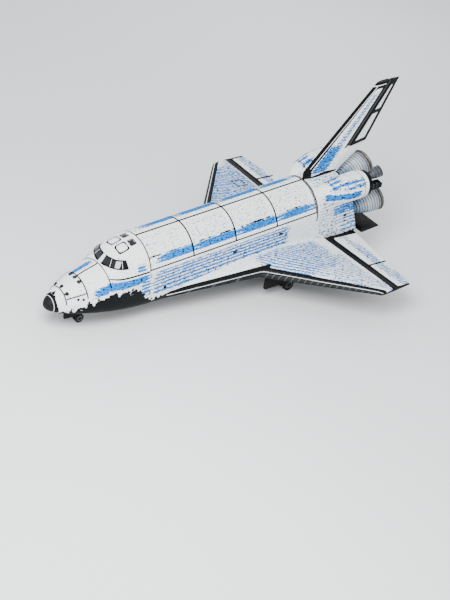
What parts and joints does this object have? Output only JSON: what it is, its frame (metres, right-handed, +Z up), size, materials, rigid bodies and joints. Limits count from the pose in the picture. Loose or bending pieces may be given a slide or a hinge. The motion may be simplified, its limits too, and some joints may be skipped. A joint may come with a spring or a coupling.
{
  "type": "winged space shuttle orbiter",
  "caption": "Delta-winged reusable spacecraft on its landing gear, with opening payload bay doors, hinged control surfaces, swivelling engine bells and turning wheels.",
  "frame": {"origin": "on the ground under the middle of the bounding box", "axes": "+Z up, nose towards -X, port side towards -Y"},
  "size_m": [36.273, 23.792, 17.2002],
  "materials": {
    "blanket": "white quilted silica felt blankets, matt, over the aluminium skin",
    "skin": "white felt over riveted aluminium skin, matt",
    "white_tile": "white glazed silica tiles, satin",
    "black_tile": "black glazed silica tiles, satin",
    "carbon": "dark grey coated carbon panels, matt",
    "bare_metal": "bare machined metal",
    "bell_metal": "heat-stained ribbed nozzle metal",
    "radiator": "silvered film over aluminium panels",
    "cabin": "grey painted cabin furniture",
    "glass": "dark window glass",
    "tyre": "black tyre rubber"
  },
  "bodies": {
    "root": {"nose_cap": "carbon", "port_leading_edge": "carbon", "starboard_leading_edge": "carbon", "forward_fuselage": "white_tile", "aft_fuselage": "white_tile", "mid_fuselage": "skin", "cabin_bulkhead": "skin", "port_wing": "blanket", "starboard_wing": "blanket", "port_manoeuvring_pod": "blanket", "starboard_manoeuvring_pod": "blanket", "tail_fin": "blanket", "port_nose_gear_door": "black_tile", "starboard_nose_gear_door": "black_tile", "port_main_gear_door": "black_tile", "starboard_main_gear_door": "black_tile", "flight_deck": "cabin", "port_windshield": "glass", "starboard_windshield": "glass", "port_overhead_window": "glass", "starboard_overhead_window": "glass", "port_pod_nozzle": "bell_metal", "starboard_pod_nozzle": "bell_metal", "nose_gear_leg": "bare_metal", "port_main_gear_leg": "bare_metal", "starboard_main_gear_leg": "bare_metal"},
    "nose_steering": {"nose_strut_lower": "bare_metal"},
    "nose_wheels": {"nose_wheel_hubs": "bare_metal", "nose_left_tyre": "tyre", "nose_right_tyre": "tyre"},
    "port_main_wheels": {"port_main_wheel_hubs": "bare_metal", "port_main_left_tyre": "tyre", "port_main_right_tyre": "tyre"},
    "starboard_main_wheels": {"starboard_main_wheel_hubs": "bare_metal", "starboard_main_left_tyre": "tyre", "starboard_main_right_tyre": "tyre"},
    "port_bay_door_body": {"port_bay_door": "blanket"},
    "port_radiator_body": {"port_radiator": "radiator"},
    "starboard_bay_door_body": {"starboard_bay_door": "blanket"},
    "starboard_radiator_body": {"starboard_radiator": "radiator"},
    "port_inboard_elevon_body": {"port_inboard_elevon": "white_tile"},
    "port_outboard_elevon_body": {"port_outboard_elevon": "white_tile"},
    "starboard_inboard_elevon_body": {"starboard_inboard_elevon": "white_tile"},
    "starboard_outboard_elevon_body": {"starboard_outboard_elevon": "white_tile"},
    "rudder": {"rudder_shaft": "bare_metal"},
    "port_speed_brake_body": {"port_speed_brake": "blanket"},
    "starboard_speed_brake_body": {"starboard_speed_brake": "blanket"},
    "flap": {"body_flap": "black_tile"},
    "upper_gimbal": {"upper_gimbal_block": "bare_metal"},
    "upper_engine": {"upper_main_engine": "bell_metal"},
    "port_gimbal": {"port_gimbal_block": "bare_metal"},
    "port_engine": {"port_main_engine": "bell_metal"},
    "starboard_gimbal": {"starboard_gimbal_block": "bare_metal"},
    "starboard_engine": {"starboard_main_engine": "bell_metal"},
    "hatch": {"side_hatch": "white_tile", "hatch_pane": "glass"},
    "port_umbilical_door_body": {"port_umbilical_door": "black_tile"},
    "starboard_umbilical_door_body": {"starboard_umbilical_door": "black_tile"}
  },
  "joints": [
    {"name": "nose_gear_steering", "type": "hinge", "parent": "root", "child": "nose_steering", "pos_m": [-14.35158, 0, 0.405], "axis": [-0.0698, 0, 0.9976], "range_deg": [-10, 10]},
    {"name": "nose_wheel_spin", "type": "hinge", "parent": "nose_steering", "child": "nose_wheels", "pos_m": [-14.35158, 0, 0.405], "axis": [0, 1, 0], "continuous": true},
    {"name": "port_main_wheel_spin", "type": "hinge", "parent": "root", "child": "port_main_wheels", "pos_m": [5.82641, -3.45, 0.565], "axis": [0, 1, 0], "continuous": true},
    {"name": "starboard_main_wheel_spin", "type": "hinge", "parent": "root", "child": "starboard_main_wheels", "pos_m": [5.82641, 3.45, 0.565], "axis": [0, 1, 0], "continuous": true},
    {"name": "port_bay_door_hinge", "type": "hinge", "parent": "root", "child": "port_bay_door_body", "pos_m": [-9.51738, -2.55004, 5.2443], "axis": [0.9976, 0, 0.0698], "range_deg": [0, 175.5]},
    {"name": "port_radiator_hinge", "type": "hinge", "parent": "port_bay_door_body", "child": "port_radiator_body", "pos_m": [-9.54926, -2.3279, 5.7002], "axis": [-0.9976, 0, -0.0698], "range_deg": [0, 35.5]},
    {"name": "starboard_bay_door_hinge", "type": "hinge", "parent": "root", "child": "starboard_bay_door_body", "pos_m": [-9.51738, 2.55004, 5.2443], "axis": [-0.9976, 0, -0.0698], "range_deg": [0, 175.5]},
    {"name": "starboard_radiator_hinge", "type": "hinge", "parent": "starboard_bay_door_body", "child": "starboard_radiator_body", "pos_m": [-9.54926, 2.3279, 5.7002], "axis": [0.9976, 0, 0.0698], "range_deg": [0, 35.5]},
    {"name": "port_inboard_elevon_hinge", "type": "hinge", "parent": "root", "child": "port_inboard_elevon_body", "pos_m": [11.11977, -2.96, 3.28211], "axis": [0.003, 0.9991, -0.0422], "range_deg": [-35, 20]},
    {"name": "port_outboard_elevon_hinge", "type": "hinge", "parent": "root", "child": "port_outboard_elevon_body", "pos_m": [11.10495, -7.98, 3.49412], "axis": [0.003, 0.9991, -0.0422], "range_deg": [-35, 20]},
    {"name": "starboard_inboard_elevon_hinge", "type": "hinge", "parent": "root", "child": "starboard_inboard_elevon_body", "pos_m": [11.11977, 2.96, 3.28211], "axis": [-0.003, 0.9991, 0.0422], "range_deg": [-35, 20]},
    {"name": "starboard_outboard_elevon_hinge", "type": "hinge", "parent": "root", "child": "starboard_outboard_elevon_body", "pos_m": [11.10495, 7.98, 3.49412], "axis": [-0.003, 0.9991, 0.0422], "range_deg": [-35, 20]},
    {"name": "rudder_hinge", "type": "hinge", "parent": "root", "child": "rudder", "pos_m": [13.48421, 0, 11.18654], "axis": [0.5121, 0, 0.8589], "range_deg": [-27.1, 27.1]},
    {"name": "port_speed_brake_hinge", "type": "hinge", "parent": "rudder", "child": "port_speed_brake_body", "pos_m": [13.48421, 0, 11.18654], "axis": [-0.5121, 0, -0.8589], "range_deg": [0, 43.6]},
    {"name": "starboard_speed_brake_hinge", "type": "hinge", "parent": "rudder", "child": "starboard_speed_brake_body", "pos_m": [13.48421, 0, 11.18654], "axis": [0.5121, 0, 0.8589], "range_deg": [0, 43.6]},
    {"name": "body_flap_hinge", "type": "hinge", "parent": "root", "child": "flap", "pos_m": [14.78978, 0, 3.55353], "axis": [0, 1, 0], "range_deg": [-11.7, 22.55]},
    {"name": "upper_engine_pitch", "type": "hinge", "parent": "root", "child": "upper_gimbal", "pos_m": [12.30823, 0, 7.3597], "axis": [0, 1, 0], "range_deg": [-10.5, 10.5]},
    {"name": "upper_engine_yaw", "type": "hinge", "parent": "upper_gimbal", "child": "upper_engine", "pos_m": [12.30823, 0, 7.3597], "axis": [-0.0698, 0, 0.9976], "range_deg": [-8.5, 8.5]},
    {"name": "port_engine_pitch", "type": "hinge", "parent": "root", "child": "port_gimbal", "pos_m": [13.07488, -1.346, 4.85407], "axis": [0, 1, 0], "range_deg": [-10.5, 10.5]},
    {"name": "port_engine_yaw", "type": "hinge", "parent": "port_gimbal", "child": "port_engine", "pos_m": [13.07488, -1.346, 4.85407], "axis": [-0.0698, 0, 0.9976], "range_deg": [-8.5, 8.5]},
    {"name": "starboard_engine_pitch", "type": "hinge", "parent": "root", "child": "starboard_gimbal", "pos_m": [13.07488, 1.346, 4.85407], "axis": [0, 1, 0], "range_deg": [-10.5, 10.5]},
    {"name": "starboard_engine_yaw", "type": "hinge", "parent": "starboard_gimbal", "child": "starboard_engine", "pos_m": [13.07488, 1.346, 4.85407], "axis": [-0.0698, 0, 0.9976], "range_deg": [-8.5, 8.5]},
    {"name": "side_hatch_hinge", "type": "hinge", "parent": "root", "child": "hatch", "pos_m": [-11.07894, -2.55, 3.34852], "axis": [0.9976, 0, 0.0698], "range_deg": [0, 90]},
    {"name": "port_umbilical_door_hinge", "type": "hinge", "parent": "root", "child": "port_umbilical_door_body", "pos_m": [10.15208, -1.2, 2.9285], "axis": [0.9976, 0, 0.0698], "range_deg": [0, 170]},
    {"name": "starboard_umbilical_door_hinge", "type": "hinge", "parent": "root", "child": "starboard_umbilical_door_body", "pos_m": [10.15208, 1.2, 2.9285], "axis": [-0.9976, 0, -0.0698], "range_deg": [0, 170]}
  ],
  "couplings": [
    {"joint": "starboard_speed_brake_hinge", "follows": "port_speed_brake_hinge", "ratio": 1}
  ]
}
